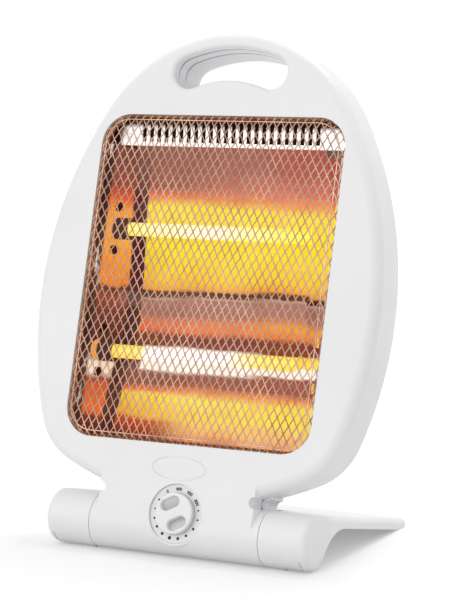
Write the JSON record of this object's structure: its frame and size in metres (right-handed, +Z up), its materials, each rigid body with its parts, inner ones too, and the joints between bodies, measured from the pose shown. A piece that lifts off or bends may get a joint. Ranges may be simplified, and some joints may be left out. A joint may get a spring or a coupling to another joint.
{
  "type": "halogen heater",
  "caption": "Egg-shaped white electric room heater with a carry slot, glowing quartz tubes behind a diamond grille, a rotary heat knob and a flat tilting stand.",
  "frame": {"origin": "on the table, under the middle of the whole heater", "axes": "+X to the viewer's right when facing the grille, +Y backward, +Z up; the grille and the dial face -Y"},
  "size_m": [0.2722, 0.1828, 0.3676],
  "materials": {
    "white_plastic": "satin moulded",
    "copper_grille": "bright coppery plating",
    "reflector_sheet": "mirror-bright",
    "steel": "zinc plated",
    "galvanised": "plain galvanised",
    "quartz": "clear",
    "glowing_wire": "glowing",
    "ceramic": "unglazed",
    "rubber": "matt",
    "dark_plastic": "matt",
    "pale_plastic": "matt"
  },
  "bodies": {
    "stand": {"stand_shell": "white_plastic", "sleeve_cover_left": "white_plastic", "sleeve_cover_right": "white_plastic", "front_feet": "rubber", "rear_feet": "rubber", "cover_screws": "steel", "hinge_bolt_left": "steel", "hinge_bolt_right": "steel", "friction_washers": "steel", "hinge_nuts": "steel", "tip_switch_body": "dark_plastic"},
    "head": {"hinge_bushes": "dark_plastic", "front_shell": "white_plastic", "rear_shell": "white_plastic", "shell_screws": "steel", "guard": "copper_grille", "top_louvre": "reflector_sheet", "bottom_flange": "reflector_sheet", "reflector": "reflector_sheet", "cheek_left": "reflector_sheet", "cheek_right": "reflector_sheet", "reflector_screws": "steel", "heat_shield": "galvanised", "tube_upper": "quartz", "tube_lower": "quartz", "coil_upper": "glowing_wire", "coil_lower": "glowing_wire", "ceramic_upper_left": "ceramic", "ceramic_upper_right": "ceramic", "ceramic_lower_left": "ceramic", "ceramic_lower_right": "ceramic", "bracket_upper_left": "galvanised", "bracket_upper_right": "galvanised", "bracket_lower_left": "galvanised", "bracket_lower_right": "galvanised", "bracket_screws": "steel", "dial_plate": "white_plastic", "switch_body": "dark_plastic", "switch_nut": "steel", "thermal_cutout": "dark_plastic", "terminal_block": "pale_plastic", "cable_inlet": "rubber"},
    "knob": {"knob": "white_plastic", "switch_shaft": "steel"},
    "plunger": {"tip_plunger": "pale_plastic"}
  },
  "joints": [
    {"name": "head_tilt", "type": "hinge", "parent": "stand", "child": "head", "pos_m": [0, -0.06658, 0.02], "axis": [-1, 0, 0], "range_deg": [-15.7, 10]},
    {"name": "knob_turn", "type": "hinge", "parent": "head", "child": "knob", "pos_m": [0.0015, -0.08094, 0.03359], "axis": [0, -0.9627, 0.2706], "range_deg": [0, 94]},
    {"name": "plunger_drop", "type": "slide", "parent": "stand", "child": "plunger", "axis": [0, 0, -1], "range_m": [0, 0.004], "stiffness_N_per_m": 60, "springref_m": 0.006}
  ]
}
